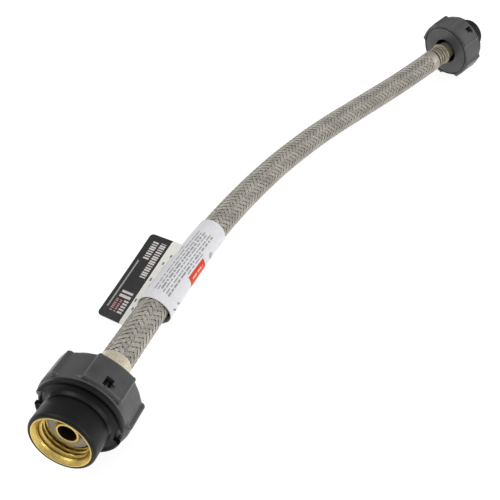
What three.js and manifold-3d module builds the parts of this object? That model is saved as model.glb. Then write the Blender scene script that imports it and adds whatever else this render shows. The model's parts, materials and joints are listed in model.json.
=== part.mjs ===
// Braided faucet connector hose, 406 mm overall, with a torque-limiting plastic nut on each end.
// Millimetres, +Z up. The hose lies on a surface at z = 0 and its chord runs along +X: the 1/2 in
// pipe-thread nut is at the -X end and the 3/8 in compression nut is at the +X end. The origin is
// under the middle of the box round the two end fittings.
// Each end fitting is drawn in its own frame: +Y is the fitting's axis, pointing out of the hose,
// y = 0 is the outer end of the crimp ferrule, and angles round the axis start at +Z (up).
import * as THREE from "three";
import { mergeVertices } from "three/addons/utils/BufferGeometryUtils.js";
import Module from "manifold-3d";

const wasm = await Module();
wasm.setup();

// ---- driving dimensions ----
const GAP = 0.3;
const HOSE_R = 7.1;
const BRAID_IN_R = 5.9;
const LINER_R = 5.6;
const LINER_BORE_R = 4.2;
const TUBE_SIDES = 10;
const BRAID_STEPS = 22;
const LINER_STEPS = 14;
const SIDES = 36;
const INNER_SIDES = 24;

// Centre line of the hose between the two ferrules' outer ends.
const ROUTE = [
  [-161.3, 5.1, 18.0], [-151.8, 8.1, 16.2], [-132.6, 13.9, 13.1], [-115.2, 18.6, 11.1],
  [-97.7, 22.8, 9.6], [-80.1, 26.3, 8.5], [-62.3, 29.2, 7.8], [-44.5, 31.4, 7.4],
  [-26.5, 32.8, 7.2], [-8.5, 33.4, 7.2], [9.5, 33.3, 7.2], [27.4, 32.3, 7.2],
  [45.4, 30.7, 7.2], [63.2, 28.3, 7.2], [80.9, 25.2, 7.3], [98.6, 21.6, 7.9],
  [116.1, 17.4, 9.1], [133.6, 12.8, 11.2], [151.8, 7.6, 14.4], [161.3, 4.8, 16.6],
];

const FERRULE = { length: 6.3, r: 7.1, neckR: 6.2, lipR: 7.4, lipStart: 7.9, lipEnd: 8.9 };
const BARB = { length: 13, r: 3.7, valleyR: 3.3, bore: 2.6, pitch: 3.6 };

const CAP = { length: 14.4, back: 2.0, holeR: 8.6, cavityR: 17.3, lipR: 18.5 };
const PAD = { r: 20.2, midR: 19.5, halfAngle: 25, panelR: 18.9, panelMidR: 18.5, step: 5, centre: 32 };
const WINDOW = { width: 3.4, length: 4.2, angle: 33, rampWidth: 3.6, depth: 4.5 };
const RATCHET = { teeth: 12, tipR: 16.0, rootR: 15.2, start: 7.8, length: 4.2 };
const CLICK = { outR: 17.0, inR: 16.35, pawls: 4, pawlR: 15.55, pawlAngle: 5 };
const RING = { outR: 17.0, inR: 14.95, length: 1.6 };
const FLANGE = { length: 2.0, pockets: 2, pocketAngle: 106, pocketWidth: 8, pocketDepth: 3.4 };
const NECK_R = 14.6;
const SKIRT_IN_R = 12.2;

// The two ends differ in where the nut sits and in the thread that it carries. Turn is the sign of
// the angles round the axis: at both ends they count towards the same side of the hose.
const NEAR = {
  prefix: "near", turn: -1, capBack: 8.4, rim: 37.6, collarR: 14.0, collarBase: 27.1,
  webR: 6.5, webStart: 22.4, webEnd: 24.6, chamberR: 9.4,
  guardR: 18.7, insertR: 12.5, insertBack: 28.6,
  crestR: 9.6, rootR: 10.65, pitch: 1.814, lipChamferR: 11.2,
  slipR: 9.1, flangeStart: 25.8, flangeEnd: 28.0, flangeR: 9.0,
  washerR: 9.2, washerFaceR: 8.6, washerEnd: 31.4, washerBackR: 9.2,
  nozzleR: 4.9, nozzleBore: 3.9, nozzleEnd: 33.0,
};
const FAR = {
  prefix: "far", turn: 1, capBack: 12.3, rim: 39.0, collarR: 10.3, collarBase: 30.6,
  webR: 6.5, webStart: 25.4, webEnd: 27.6, chamberR: 8.8,
  guardR: 17.2, insertR: 8.5, insertBack: 31.6,
  crestR: 6.45, rootR: 7.15, pitch: 1.058, lipChamferR: 7.6,
  slipR: 8.4, flangeStart: 28.8, flangeEnd: 30.8, flangeR: 8.4,
  washerR: 6.0, washerFaceR: 5.2, washerEnd: 33.8, washerBackR: 6.0,
  nozzleR: 3.3, nozzleBore: 2.4, nozzleEnd: 33.6,
};

const LABEL = { start: 41.5, end: 104, thick: 0.45 };
// The tag's place is its near corner beside the hose, and its angles are those of its long side.
const TAG = {
  corner: [-131.6, 27.6, 2.6], heading: 5.3, pitch: 16.9, roll: -5.1,
  length: 49, width: 16.6, thick: 0.5, round: 2.2,
};

// ---- small helpers ----
const rad = THREE.MathUtils.degToRad;
const up = new THREE.Vector3(0, 0, 1);

function material(color, roughness, metalness = 0) {
  return new THREE.MeshStandardMaterial({ color, roughness, metalness });
}

function mesh(name, geometry, mat) {
  const result = new THREE.Mesh(geometry, mat);
  result.name = name;
  return result;
}

// A solid of revolution about +Y from a closed outline of [radius, y], anticlockwise.
function lathe(outline, sides = SIDES) {
  const points = [...outline, outline[0]].map(([r, y]) => new THREE.Vector2(r, y));
  return new THREE.LatheGeometry(points, sides);
}

// A prism along +Y. The outline is [angle, radius] pairs, with angles from +Z towards +X.
function prism(polar, start, length, hole = 0) {
  const shape = new THREE.Shape(polar.map(([a, r]) => {
    return new THREE.Vector2(r * Math.sin(rad(a)), -r * Math.cos(rad(a)));
  }));
  if (hole > 0) shape.holes.push(new THREE.Path().absarc(0, 0, hole, 0, 2 * Math.PI, true));
  const settings = { depth: length, bevelEnabled: false, curveSegments: SIDES };
  const geometry = new THREE.ExtrudeGeometry(shape, settings);
  return geometry.rotateX(-Math.PI / 2).translate(0, start, 0);
}

// A box with its middle at a radius and an angle round the axis.
function boxAt(width, length, depth, angle, radius, y) {
  const box = new THREE.BoxGeometry(width, length, depth);
  return box.translate(0, y, radius).rotateY(rad(angle));
}

function solid(geometry) {
  const plain = geometry.index ? geometry.toNonIndexed() : geometry.clone();
  plain.deleteAttribute("normal");
  plain.deleteAttribute("uv");
  const merged = mergeVertices(plain, 1e-4);
  const index = merged.index.array;
  const position = merged.attributes.position;
  const triangles = [];
  for (let i = 0; i < index.length; i += 3) {
    const [a, b, c] = [index[i], index[i + 1], index[i + 2]];
    if (a !== b && b !== c && c !== a) triangles.push(a, b, c);
  }
  return new wasm.Manifold(new wasm.Mesh({
    numProp: 3,
    vertProperties: new Float32Array(position.array),
    triVerts: new Uint32Array(triangles),
  }));
}

function geometryOf(manifold) {
  const result = manifold.getMesh();
  const geometry = new THREE.BufferGeometry();
  geometry.setAttribute("position", new THREE.BufferAttribute(new Float32Array(result.vertProperties), 3));
  geometry.setIndex(new THREE.BufferAttribute(new Uint32Array(result.triVerts), 1));
  geometry.computeVertexNormals();
  return geometry;
}

function combine(base, added, removed) {
  let result = solid(base);
  for (const piece of added) result = result.add(solid(piece));
  for (const piece of removed) result = result.subtract(solid(piece));
  return geometryOf(result);
}

// ---- the hose ----
const routePoints = ROUTE.map((p) => new THREE.Vector3(...p));
const route = new THREE.CatmullRomCurve3(routePoints, false, "centripetal");
const routeLength = route.getLength();

// The part of the route between two lengths along it, as a curve of its own.
function stretch(from, to, steps) {
  const points = [];
  for (let i = 0; i <= steps; i++) {
    points.push(route.getPointAt((from + ((to - from) * i) / steps) / routeLength));
  }
  return new THREE.CatmullRomCurve3(points, false, "centripetal");
}

function sectionRing(outR, inR) {
  const shape = new THREE.Shape();
  const hole = new THREE.Path();
  for (let i = 0; i < TUBE_SIDES; i++) {
    const angle = (2 * Math.PI * (i + 0.5)) / TUBE_SIDES;
    shape[i ? "lineTo" : "moveTo"](outR * Math.cos(angle), outR * Math.sin(angle));
    hole[i ? "lineTo" : "moveTo"](inR * Math.cos(-angle), inR * Math.sin(-angle));
  }
  shape.holes.push(hole);
  return shape;
}

function tube(from, to, outR, inR, steps) {
  const path = stretch(from, to, steps);
  return new THREE.ExtrudeGeometry(sectionRing(outR, inR), { steps, extrudePath: path, bevelEnabled: false });
}

// ---- pieces of an end fitting ----
function ferrule() {
  const { length, r } = FERRULE;
  return lathe([
    [LINER_R + GAP, -length], [r - 0.2, -length], [r, -length + 0.3], [r, -0.4], [r - 0.5, 0],
    [BARB.r + GAP, 0], [BARB.r + GAP, -1.2], [LINER_R + GAP, -1.2],
  ], INNER_SIDES);
}

function stem(end) {
  const outline = [[BARB.bore, -BARB.length]];
  const barbs = Math.floor((BARB.length - 2) / BARB.pitch);
  for (let i = 0; i < barbs; i++) {
    const y = -BARB.length + i * BARB.pitch;
    outline.push([BARB.valleyR, y], [BARB.r, y + BARB.pitch * 0.8]);
  }
  outline.push([BARB.valleyR, -2], [BARB.valleyR, GAP], [FERRULE.neckR, GAP]);
  for (const ridge of [2.4, 4.8]) {
    outline.push([FERRULE.neckR, ridge], [FERRULE.neckR + 0.5, ridge + 0.7]);
    outline.push([FERRULE.neckR, ridge + 1.4]);
  }
  outline.push([FERRULE.neckR, FERRULE.lipStart - 0.5], [FERRULE.lipR, FERRULE.lipStart]);
  outline.push([FERRULE.lipR, FERRULE.lipEnd - 0.3], [FERRULE.lipR - 0.4, FERRULE.lipEnd]);
  outline.push([5.9, FERRULE.lipEnd], [5.9, end.flangeStart], [end.flangeR, end.flangeStart]);
  outline.push([end.flangeR, end.flangeEnd], [end.nozzleR, end.flangeEnd]);
  outline.push([end.nozzleR, end.nozzleEnd - 0.4]);
  outline.push([end.nozzleR - 0.4, end.nozzleEnd], [end.nozzleBore, end.nozzleEnd]);
  outline.push([end.nozzleBore, end.flangeStart - 4], [BARB.bore, end.flangeStart - 6]);
  return lathe(outline, INNER_SIDES);
}

function slipRing(end) {
  return lathe([
    [5.9 + GAP, end.webEnd + GAP], [end.slipR, end.webEnd + GAP],
    [end.slipR, end.flangeStart - GAP], [5.9 + GAP, end.flangeStart - GAP],
  ], INNER_SIDES);
}

function washer(end) {
  const bore = end.nozzleR + GAP;
  return lathe([
    [bore, end.flangeEnd + GAP], [end.washerBackR, end.flangeEnd + GAP],
    [end.washerR, end.washerEnd - 1.6], [end.washerFaceR, end.washerEnd], [bore, end.washerEnd],
  ], INNER_SIDES);
}

// The threaded brass insert, with its thread drawn as separate rings at the true pitch.
function threadInsert(end) {
  const outline = [[end.crestR, end.insertBack], [end.insertR, end.insertBack], [end.insertR, end.rim]];
  outline.push([end.lipChamferR, end.rim]);
  const start = end.rim - (end.lipChamferR - end.crestR);
  outline.push([end.crestR, start]);
  const turns = Math.floor((start - end.insertBack - 1) / end.pitch);
  for (let i = 0; i < turns; i++) {
    const y = start - i * end.pitch;
    outline.push([end.rootR, y - 0.5 * end.pitch], [end.crestR, y - end.pitch]);
  }
  return lathe(outline, INNER_SIDES);
}

// The threaded inner nut: ratchet skirt, web, flange and collar in one moulding.
function innerNut(end) {
  const capFront = end.capBack + CAP.length;
  const ratchet = end.capBack + RATCHET.start;
  const flangeBack = capFront + GAP;
  const flangeFront = flangeBack + FLANGE.length;
  const body = lathe([
    [end.webR, end.webStart], [SKIRT_IN_R, end.webStart], [SKIRT_IN_R, end.capBack + CAP.back + 0.6],
    [RATCHET.rootR - 0.2, end.capBack + CAP.back + 0.6], [RATCHET.rootR - 0.2, ratchet + RATCHET.length],
    [NECK_R, ratchet + RATCHET.length], [NECK_R, flangeBack], [end.guardR, flangeBack],
    [end.guardR, flangeFront], [end.guardR - 1.0, flangeFront + 0.15],
    [end.collarR + 1.6, flangeFront - 0.3],
    [end.collarR + 0.3, flangeFront + 0.4], [end.collarR - 0.4, end.collarBase],
    [end.collarR, end.collarBase + 0.4], [end.collarR, end.rim - 0.9], [end.collarR - 0.4, end.rim - 0.2],
    [end.collarR - 0.9, end.rim], [end.insertR + GAP, end.rim],
    [end.insertR + GAP, end.insertBack - GAP], [end.chamberR, end.insertBack - GAP],
    [end.chamberR, end.webEnd], [end.webR, end.webEnd],
  ]);
  const teeth = [];
  for (let i = 0; i < RATCHET.teeth; i++) {
    const pitch = 360 / RATCHET.teeth;
    const middle = end.turn * PAD.centre + (i + 0.5) * pitch;
    teeth.push([middle - 0.5 * pitch, RATCHET.rootR], [middle - 0.28 * pitch, RATCHET.rootR]);
    teeth.push([middle - 0.1 * pitch, RATCHET.tipR], [middle + 0.1 * pitch, RATCHET.tipR]);
    teeth.push([middle + 0.28 * pitch, RATCHET.rootR]);
  }
  const band = prism(teeth, ratchet, RATCHET.length, RATCHET.rootR - 1.2);
  const pockets = [];
  for (let i = 0; i < FLANGE.pockets; i++) {
    const angle = end.turn * FLANGE.pocketAngle + (i * 360) / FLANGE.pockets;
    const radius = end.guardR - FLANGE.pocketDepth / 2 + 0.2;
    pockets.push(boxAt(FLANGE.pocketWidth, 3.0, FLANGE.pocketDepth, angle, radius, flangeFront));
  }
  return combine(body, [band], pockets);
}

// The ring fixed in the cap, with inward pawls that click over the ratchet teeth.
function clickRing(end) {
  const outline = [];
  const y = end.capBack + RATCHET.start - 0.2;
  const pitch = 360 / CLICK.pawls;
  for (let i = 0; i < CLICK.pawls; i++) {
    const middle = end.turn * PAD.centre + i * pitch;
    for (let a = 12; a <= pitch - 12; a += 6) outline.push([middle - pitch + a, CLICK.inR]);
    outline.push([middle - CLICK.pawlAngle, CLICK.inR], [middle - 0.5 * CLICK.pawlAngle, CLICK.pawlR]);
    outline.push([middle + 0.5 * CLICK.pawlAngle, CLICK.pawlR], [middle + CLICK.pawlAngle, CLICK.inR]);
  }
  const length = RATCHET.length + 0.4;
  const ring = prism(circle(CLICK.outR, SIDES), y, length);
  return combine(ring, [], [prism(outline, y - 1, length + 2)]);
}

function circle(r, sides) {
  return Array.from({ length: sides }, (_, i) => [(360 * i) / sides, r]);
}

function retainingRing(end) {
  const y = end.capBack + RATCHET.start + RATCHET.length + 2 * GAP;
  const front = y + RING.length;
  return lathe([[RING.inR, y], [RING.outR, y], [RING.outR, front], [RING.inR, front]], INNER_SIDES);
}

// The outline of the cap: four raised pads with slightly hollow panels between them.
function capOutline(centre) {
  const outline = [];
  for (let i = 0; i < 4; i++) {
    const middle = centre + 90 * i;
    for (const part of [-1, -0.6, -0.2, 0.2, 0.6, 1]) {
      const r = PAD.midR + (PAD.r - PAD.midR) * part * part;
      outline.push([middle + part * PAD.halfAngle, r]);
    }
    const from = middle + PAD.halfAngle + PAD.step;
    const span = 90 - 2 * PAD.halfAngle - 2 * PAD.step;
    for (const part of [0, 0.33, 0.67, 1]) {
      const bow = 4 * part * (1 - part);
      outline.push([from + part * span, PAD.panelR + (PAD.panelMidR - PAD.panelR) * bow]);
    }
  }
  return outline;
}

function driveCap(end) {
  const back = end.capBack;
  const front = back + CAP.length;
  const block = solid(prism(capOutline(end.turn * PAD.centre), back, CAP.length));
  const envelope = lathe([
    [0, back], [PAD.r - 1.6, back], [PAD.r + 0.1, back + 1.2], [PAD.r + 0.1, front - 1.6],
    [CAP.lipR, front], [0, front],
  ]);
  const hollow = lathe([
    [0, back + CAP.back], [CAP.cavityR, back + CAP.back], [CAP.cavityR, front + 1], [0, front + 1],
  ]);
  const hole = lathe([
    [0, back - 1], [CAP.holeR, back - 1], [CAP.holeR, back + CAP.back + 1], [0, back + CAP.back + 1],
  ]);
  let result = block.intersect(solid(envelope)).subtract(solid(hollow)).subtract(solid(hole));
  for (let i = 0; i < 4; i++) {
    const angle = end.turn * (WINDOW.angle + 90 * i);
    const y = back + RATCHET.start + RATCHET.length / 2;
    result = result.subtract(solid(boxAt(WINDOW.width, WINDOW.length, WINDOW.depth, angle, PAD.midR, y)));
    const ramp = boxAt(WINDOW.rampWidth, 2.2, 1.6, angle + end.turn * 8, PAD.midR + 0.35, y + 0.7);
    result = result.subtract(solid(ramp));
  }
  return geometryOf(result);
}

// ---- assembly ----
const capGrey = () => material(0x46474a, 0.42);
const nutBlack = () => material(0x242427, 0.38);
const brass = () => material(0xc9a45a, 0.3, 0.9);

function endFitting(end, origin, outward) {
  const group = new THREE.Group();
  const pieces = [
    ["ferrule", ferrule(), material(0xb9b09b, 0.35, 0.7)],
    ["stem", stem(end), brass()],
    ["slip_ring", slipRing(end), material(0xe4e2da, 0.5)],
    ["washer", washer(end), material(0xb9b0a2, 0.7)],
    ["thread_insert", threadInsert(end), brass()],
    ["inner_nut", innerNut(end), nutBlack()],
    ["click_ring", clickRing(end), nutBlack()],
    ["retaining_ring", retainingRing(end), capGrey()],
    ["drive_cap", driveCap(end), capGrey()],
  ];
  for (const [name, geometry, mat] of pieces) group.add(mesh(`${end.prefix}_${name}`, geometry, mat));
  const side = new THREE.Vector3().crossVectors(outward, up).normalize();
  const upward = new THREE.Vector3().crossVectors(side, outward);
  group.quaternion.setFromRotationMatrix(new THREE.Matrix4().makeBasis(side, outward, upward));
  group.position.copy(origin);
  return group;
}

function wrapLabel() {
  return tube(LABEL.start, LABEL.end, HOSE_R + GAP + LABEL.thick, HOSE_R + GAP, 6);
}

// The flag tag: a stiff flat card that stands out from the left side of the label.
function hangTag() {
  const { width, length, thick, round } = TAG;
  const shape = new THREE.Shape();
  shape.moveTo(0, 0);
  shape.lineTo(width - round, 0);
  shape.absarc(width - round, round, round, -Math.PI / 2, 0, false);
  shape.lineTo(width, length - round);
  shape.absarc(width - round, length - round, round, 0, Math.PI / 2, false);
  shape.lineTo(0, length);
  return new THREE.ExtrudeGeometry(shape, { depth: thick, bevelEnabled: false, curveSegments: 5 });
}

function tagPlaced() {
  const tag = mesh("hang_tag", hangTag(), material(0x2e2e30, 0.45));
  const rise = rad(TAG.pitch);
  const heading = rad(TAG.heading);
  const along = new THREE.Vector3(Math.cos(heading), Math.sin(heading), Math.tan(rise)).normalize();
  const out = new THREE.Vector3().crossVectors(up, along).normalize().applyAxisAngle(along, rad(TAG.roll));
  const face = new THREE.Vector3().crossVectors(out, along);
  tag.quaternion.setFromRotationMatrix(new THREE.Matrix4().makeBasis(out, along, face));
  tag.position.set(...TAG.corner);
  return tag;
}

const part = new THREE.Group();
const startOut = routePoints[0].clone().sub(routePoints[1]).normalize();
const endOut = routePoints.at(-1).clone().sub(routePoints.at(-2)).normalize();
const braidStart = FERRULE.length + GAP;
const linerStart = 1.5;
const braid = tube(braidStart, routeLength - braidStart, HOSE_R, BRAID_IN_R, BRAID_STEPS);
const liner = tube(linerStart, routeLength - linerStart, LINER_R, LINER_BORE_R, LINER_STEPS);
part.add(
  mesh("hose_braid", braid, material(0xa5a096, 0.5)),
  mesh("hose_liner", liner, material(0x8f8a80, 0.6)),
  mesh("wrap_label", wrapLabel(), material(0xdedede, 0.5)),
  tagPlaced(),
  endFitting(NEAR, routePoints[0], startOut),
  endFitting(FAR, routePoints.at(-1), endOut),
);

export default part;
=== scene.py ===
"""Braided faucet connector hose: its looks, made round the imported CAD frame.

The hose's route is in metres, in the row frame. Shapes are worked out in millimetres, in the row
frame or in an end fitting's own frame, and become metres when their mesh is made. A fitting's own
frame has +Y along its axis, pointing out of the hose, and y = 0 at the outer end of its ferrule.
Angles round it start at the top and, times the end's turn, grow towards the same side of the hose.
"""
import json
import math
import random

import bmesh
import bpy
import numpy as np
from mathutils import Vector
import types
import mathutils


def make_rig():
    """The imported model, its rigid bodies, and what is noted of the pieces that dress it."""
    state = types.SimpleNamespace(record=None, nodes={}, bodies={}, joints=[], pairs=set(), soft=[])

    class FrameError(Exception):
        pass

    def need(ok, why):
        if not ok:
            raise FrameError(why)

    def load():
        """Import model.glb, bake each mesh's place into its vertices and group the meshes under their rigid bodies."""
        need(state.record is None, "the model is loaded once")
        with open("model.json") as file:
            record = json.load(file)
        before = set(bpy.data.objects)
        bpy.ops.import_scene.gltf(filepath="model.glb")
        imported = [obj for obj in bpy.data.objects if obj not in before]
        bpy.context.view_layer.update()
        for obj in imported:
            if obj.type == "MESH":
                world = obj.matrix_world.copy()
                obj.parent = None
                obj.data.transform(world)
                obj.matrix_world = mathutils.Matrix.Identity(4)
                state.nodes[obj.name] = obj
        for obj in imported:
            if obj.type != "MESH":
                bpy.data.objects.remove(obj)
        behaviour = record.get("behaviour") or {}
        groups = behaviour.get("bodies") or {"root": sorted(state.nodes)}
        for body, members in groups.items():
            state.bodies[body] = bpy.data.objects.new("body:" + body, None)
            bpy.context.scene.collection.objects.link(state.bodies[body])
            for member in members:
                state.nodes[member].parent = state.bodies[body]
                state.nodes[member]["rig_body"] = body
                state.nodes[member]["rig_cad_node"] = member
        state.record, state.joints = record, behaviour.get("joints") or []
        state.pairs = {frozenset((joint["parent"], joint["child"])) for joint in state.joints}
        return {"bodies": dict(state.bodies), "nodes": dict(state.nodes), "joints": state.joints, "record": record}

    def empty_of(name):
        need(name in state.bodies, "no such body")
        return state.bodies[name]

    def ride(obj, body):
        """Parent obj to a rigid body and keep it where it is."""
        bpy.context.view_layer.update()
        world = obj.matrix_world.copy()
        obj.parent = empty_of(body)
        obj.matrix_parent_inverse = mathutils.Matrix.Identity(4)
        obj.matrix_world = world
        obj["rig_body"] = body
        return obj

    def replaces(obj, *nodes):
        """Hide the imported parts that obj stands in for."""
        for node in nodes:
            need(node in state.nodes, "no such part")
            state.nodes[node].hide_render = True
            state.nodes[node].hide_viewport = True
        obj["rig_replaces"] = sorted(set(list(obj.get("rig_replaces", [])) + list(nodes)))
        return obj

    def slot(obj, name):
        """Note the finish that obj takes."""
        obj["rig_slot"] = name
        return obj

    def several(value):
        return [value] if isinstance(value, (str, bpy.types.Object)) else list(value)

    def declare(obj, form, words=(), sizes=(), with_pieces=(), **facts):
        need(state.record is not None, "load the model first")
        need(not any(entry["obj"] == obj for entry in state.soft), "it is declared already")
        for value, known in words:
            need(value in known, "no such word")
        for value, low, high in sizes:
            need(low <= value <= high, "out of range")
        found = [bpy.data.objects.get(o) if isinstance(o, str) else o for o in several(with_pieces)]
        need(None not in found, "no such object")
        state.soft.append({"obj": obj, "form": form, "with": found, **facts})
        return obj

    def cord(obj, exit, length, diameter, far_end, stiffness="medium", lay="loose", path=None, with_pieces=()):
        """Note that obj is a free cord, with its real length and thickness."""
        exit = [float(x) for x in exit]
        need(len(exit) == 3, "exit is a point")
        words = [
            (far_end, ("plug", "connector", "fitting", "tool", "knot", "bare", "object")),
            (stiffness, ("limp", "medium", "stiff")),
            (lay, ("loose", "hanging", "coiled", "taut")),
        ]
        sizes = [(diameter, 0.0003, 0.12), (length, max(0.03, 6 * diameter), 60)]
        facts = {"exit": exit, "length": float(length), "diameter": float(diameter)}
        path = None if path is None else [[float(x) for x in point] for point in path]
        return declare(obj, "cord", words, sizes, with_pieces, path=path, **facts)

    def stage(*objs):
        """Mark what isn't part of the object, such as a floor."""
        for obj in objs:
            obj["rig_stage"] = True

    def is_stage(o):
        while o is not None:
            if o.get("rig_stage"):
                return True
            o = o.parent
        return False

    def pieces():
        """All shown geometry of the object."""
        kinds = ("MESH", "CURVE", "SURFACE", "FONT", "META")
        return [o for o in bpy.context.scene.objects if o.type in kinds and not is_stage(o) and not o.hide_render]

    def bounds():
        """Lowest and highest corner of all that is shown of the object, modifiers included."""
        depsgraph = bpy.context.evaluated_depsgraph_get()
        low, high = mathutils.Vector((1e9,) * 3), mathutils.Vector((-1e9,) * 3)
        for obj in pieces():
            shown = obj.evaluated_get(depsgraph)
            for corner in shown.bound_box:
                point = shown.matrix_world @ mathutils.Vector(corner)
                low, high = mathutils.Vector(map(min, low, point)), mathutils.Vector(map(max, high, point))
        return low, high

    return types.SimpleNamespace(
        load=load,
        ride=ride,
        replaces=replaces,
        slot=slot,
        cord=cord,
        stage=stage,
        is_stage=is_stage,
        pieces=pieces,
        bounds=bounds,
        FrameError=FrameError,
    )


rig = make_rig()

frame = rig.load()
CAD_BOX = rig.bounds()

MM = 0.001
UP = np.array([0.0, 0.0, 1.0])
HOSE_R = 7.1
GAP = 0.3

# The hose's centre line between the outer ends of its two ferrules, in metres.
ROUTE = [
    (-0.1613, 0.0051, 0.0180), (-0.1518, 0.0081, 0.0162), (-0.1326, 0.0139, 0.0131),
    (-0.1152, 0.0186, 0.0111), (-0.0977, 0.0228, 0.0096), (-0.0801, 0.0263, 0.0085),
    (-0.0623, 0.0292, 0.0078), (-0.0445, 0.0314, 0.0074), (-0.0265, 0.0328, 0.0072),
    (-0.0085, 0.0334, 0.0072), (0.0095, 0.0333, 0.0072), (0.0274, 0.0323, 0.0072),
    (0.0454, 0.0307, 0.0072), (0.0632, 0.0283, 0.0072), (0.0809, 0.0252, 0.0073),
    (0.0986, 0.0216, 0.0079), (0.1161, 0.0174, 0.0091), (0.1336, 0.0128, 0.0112),
    (0.1518, 0.0076, 0.0144), (0.1613, 0.0048, 0.0166),
]
ROUTE_MM = np.round(np.array(ROUTE) / MM, 1)

NEAR = {
    "prefix": "near", "turn": -1, "origin": ROUTE_MM[0], "out": (-9.5, -3.0, 1.8),
    "cap_back": 8.4, "rim": 37.6, "guard_r": 18.7, "collar_r": 14.0, "collar_base": 27.1,
    "web": (22.4, 24.6), "web_r": 6.5, "chamber_r": 9.4,
    "insert_r": 12.5, "insert_back": 28.6, "crest_r": 9.6, "root_r": 10.65, "pitch": 1.814,
    "mouth_r": 12.0, "bore_mouth_r": 10.9, "plain": 2.0,
    "flange_start": 25.8, "flange_end": 28.0, "flange_r": 9.0,
    "washer_r": 9.2, "washer_face_r": 9.0, "washer_end": 31.4, "washer_back_r": 9.2,
    "nozzle_r": 4.9, "nozzle_bore": 3.9, "nozzle_end": 33.0,
}
FAR = {
    "prefix": "far", "turn": 1, "origin": ROUTE_MM[-1], "out": (9.5, -2.8, 2.2),
    "cap_back": 12.3, "rim": 39.0, "guard_r": 17.2, "collar_r": 10.3, "collar_base": 30.6,
    "web": (25.4, 27.6), "web_r": 6.5, "chamber_r": 8.8,
    "insert_r": 8.5, "insert_back": 31.6, "crest_r": 6.45, "root_r": 7.15, "pitch": 1.058,
    "mouth_r": 8.1, "bore_mouth_r": 7.3, "plain": 1.2,
    "flange_start": 28.8, "flange_end": 30.8, "flange_r": 8.4,
    "washer_r": 6.0, "washer_face_r": 5.2, "washer_end": 33.8, "washer_back_r": 6.0,
    "nozzle_r": 3.3, "nozzle_bore": 2.4, "nozzle_end": 33.6,
}

# "ends" is the length of hose that a ferrule covers, and "angle" is from the hose's axis, in degrees.
BRAID = {"carriers": 12, "angle": 49.4, "width": 1.72, "wires": 6, "thick": 0.26, "wave": 0.15, "ends": 6.6}
# A strand's section, in parts of its thickness: over a wire, between two wires, and its back.
WIRE_TOP, WIRE_VALLEY, STRAND_BACK = 0.5, 0.05, -0.5
PATH_POINTS = 90

# Lengths along the hose from the near ferrule's outer end; "loose" is how far the near end stands off.
LABEL = {"start": 41.5, "stop": 104.0, "inner": 7.42, "thick": 0.38, "loose": 1.6, "loose_at": 105,
         "ripple": 0.05, "ripples": 3, "ripple_twist": 0.11}
LABEL_SIDES, LABEL_RINGS = 150, 180
# Rows of printed dashes: angles round the hose in degrees, and lengths along the label.
TEXT = {"rows": 7, "first": -12, "apart": 11.3, "half": 2.7, "start": 5.5, "stop": 54, "last_start": 22.5,
        "last_stop": 43, "dash": 1.4, "dash_more": 3.4, "space": 0.55, "space_more": 0.4}
BAR = {"start": 23.2, "stop": 39.1, "low": 64, "high": 112}
BAR_TEXT = {"start": 25.5, "stop": 36.5, "low": 78, "high": 86, "every": 5.2, "dash": 3.9}
SEAL = {"at": 45.6, "angle": 88, "r": 1.9, "mm_per_degree": 0.135}
TICKS = {"at": (4.5, 9.0), "half": 1.3, "angle": 93, "slant": 5, "half_angle": 4}

# The tag's place is its near corner beside the hose, and its angles are those of its long side.
TAG = {"corner": (-131.4, 24.7, 2.9), "heading": 5.3, "pitch": 16.9, "roll": -5.1, "length": 49.0,
       "width": 19.6, "thick": 0.42, "round": 2.2, "strip": 6.1, "curl": 0.35}
TAG_ROWS, TAG_COLUMNS = 160, 64
STRIP_MARKS = ((9.0, -2.2), (13.5, -1.0), (22.5, -3.2), (26.0, -1.6), (36.0, -2.6), (41.0, -4.2))
STRIP_MARK_HALF = (0.8, 0.5)
TAG_LINE = {"start": 5.5, "stop": 33, "out": 10.9, "half": 0.4}
STROKE = 0.62

# FERRULE's edge is how far from its outer end the painted shadow reaches.
FERRULE = {"length": 6.3, "r": 7.1, "inner": 5.95, "end": 1.2, "end_r": 4.1, "edge": 0.45}
BARB = {"start": 13, "ribs": 4, "apart": 2.7, "rise": 2.2, "valley_r": 3.3, "r": 3.7, "bore": 2.6}
NECK = {"r": 5.5, "ridges": (2.6, 4.6), "ridge_r": 6.6, "lip_r": 7.4, "stem_r": 5.9}
PAD = {"r": 20.2, "mid_r": 19.55, "half": 25, "panel_r": 18.9, "panel_mid_r": 18.4, "step": 3.6, "centre": 32,
       "edge": 3.2, "edge_rise": 0.3}
QUARTER = 90
CAP = {"length": 14.4, "back": 2.0, "hole_r": 8.6, "cavity_r": 17.3, "shoulder_r": 18.0, "lip_r": 18.42}
WINDOW = {"angle": 33, "middle": 9.9, "half_width": 1.7, "half_height": 2.1, "floor_r": 16.0, "ramp_r": 18.0,
          "channel_r": 18.9}
OUTSIDE_R = 22
PAWL = {"start": 7.6, "length": 4.6, "r": 17.0, "inner": 16.4, "rise": 1.35, "half_angle": 3.6}
GUARD = {"thick": 2.0, "pockets": 2, "pocket_angle": 106, "pocket_half": 4.0, "pocket_depth": 3.4}
SKIRT = {"inner": 12.2, "r": 15.0, "neck_r": 14.6, "start": 2.6, "end": 12.0}
THREAD = {"rings_per_turn": 14, "flank": 1.6, "cut": 0.25, "run_out": 0.8}

CAMERA = {"at": (-254.7, -131.0, 239.8), "heading": 35.1, "down": 44.4, "lens_over_width": 1.3,
          "sensor": 36.0, "clip": 0.01}
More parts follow.
